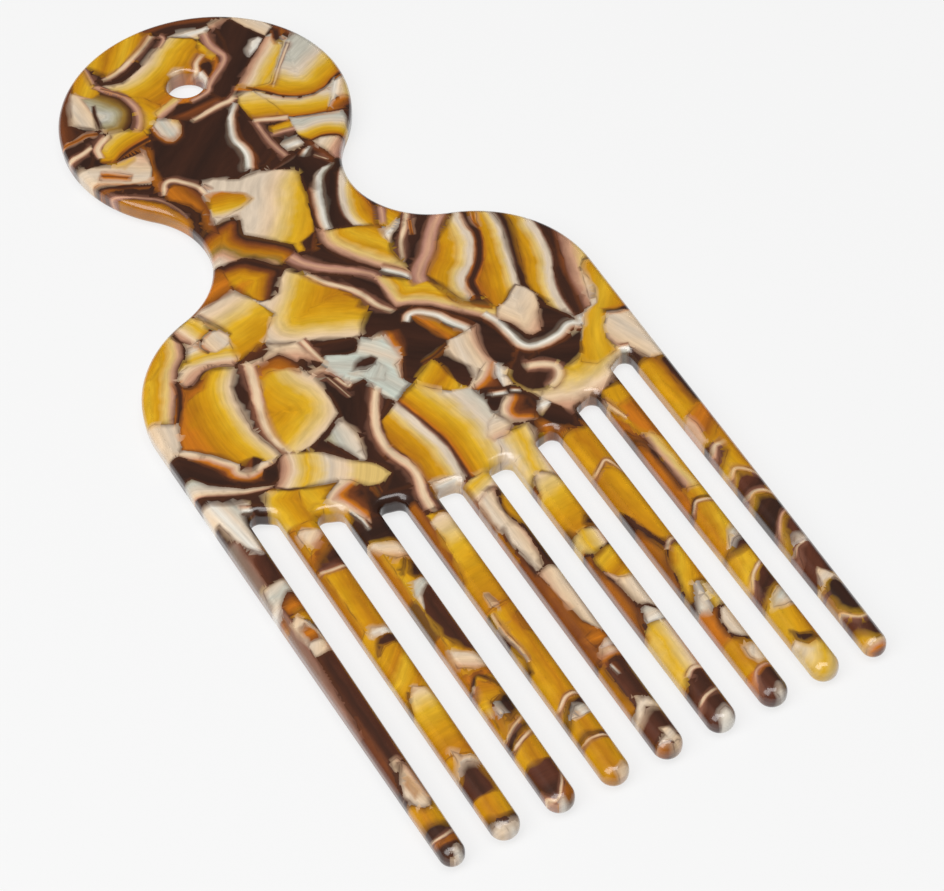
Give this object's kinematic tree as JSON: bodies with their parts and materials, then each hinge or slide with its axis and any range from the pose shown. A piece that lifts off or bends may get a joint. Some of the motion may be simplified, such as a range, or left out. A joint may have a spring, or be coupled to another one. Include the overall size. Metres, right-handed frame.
{
  "type": "hair pick comb",
  "caption": "Flat one-piece hair pick comb with a round handle, a hanging hole, a waisted neck, a shouldered plate and long round-tipped teeth.",
  "frame": {"origin": "on the back face, under the middle of the comb's outline", "axes": "+X across the teeth, +Y from the tooth tips to the round handle, +Z out of the front face, through the thickness"},
  "size_m": [0.0758, 0.173, 0.0038],
  "materials": {
    "mosaic_acetate": "high-gloss polished cellulose acetate, pressed from amber, dark brown and pearl cream chips"
  },
  "bodies": {
    "root": {"handle_disc": "mosaic_acetate", "neck": "mosaic_acetate", "body_plate": "mosaic_acetate", "tooth_1": "mosaic_acetate", "tooth_2": "mosaic_acetate", "tooth_3": "mosaic_acetate", "tooth_4": "mosaic_acetate", "tooth_5": "mosaic_acetate", "tooth_6": "mosaic_acetate", "tooth_7": "mosaic_acetate", "tooth_8": "mosaic_acetate", "tooth_9": "mosaic_acetate"}
  },
  "joints": []
}
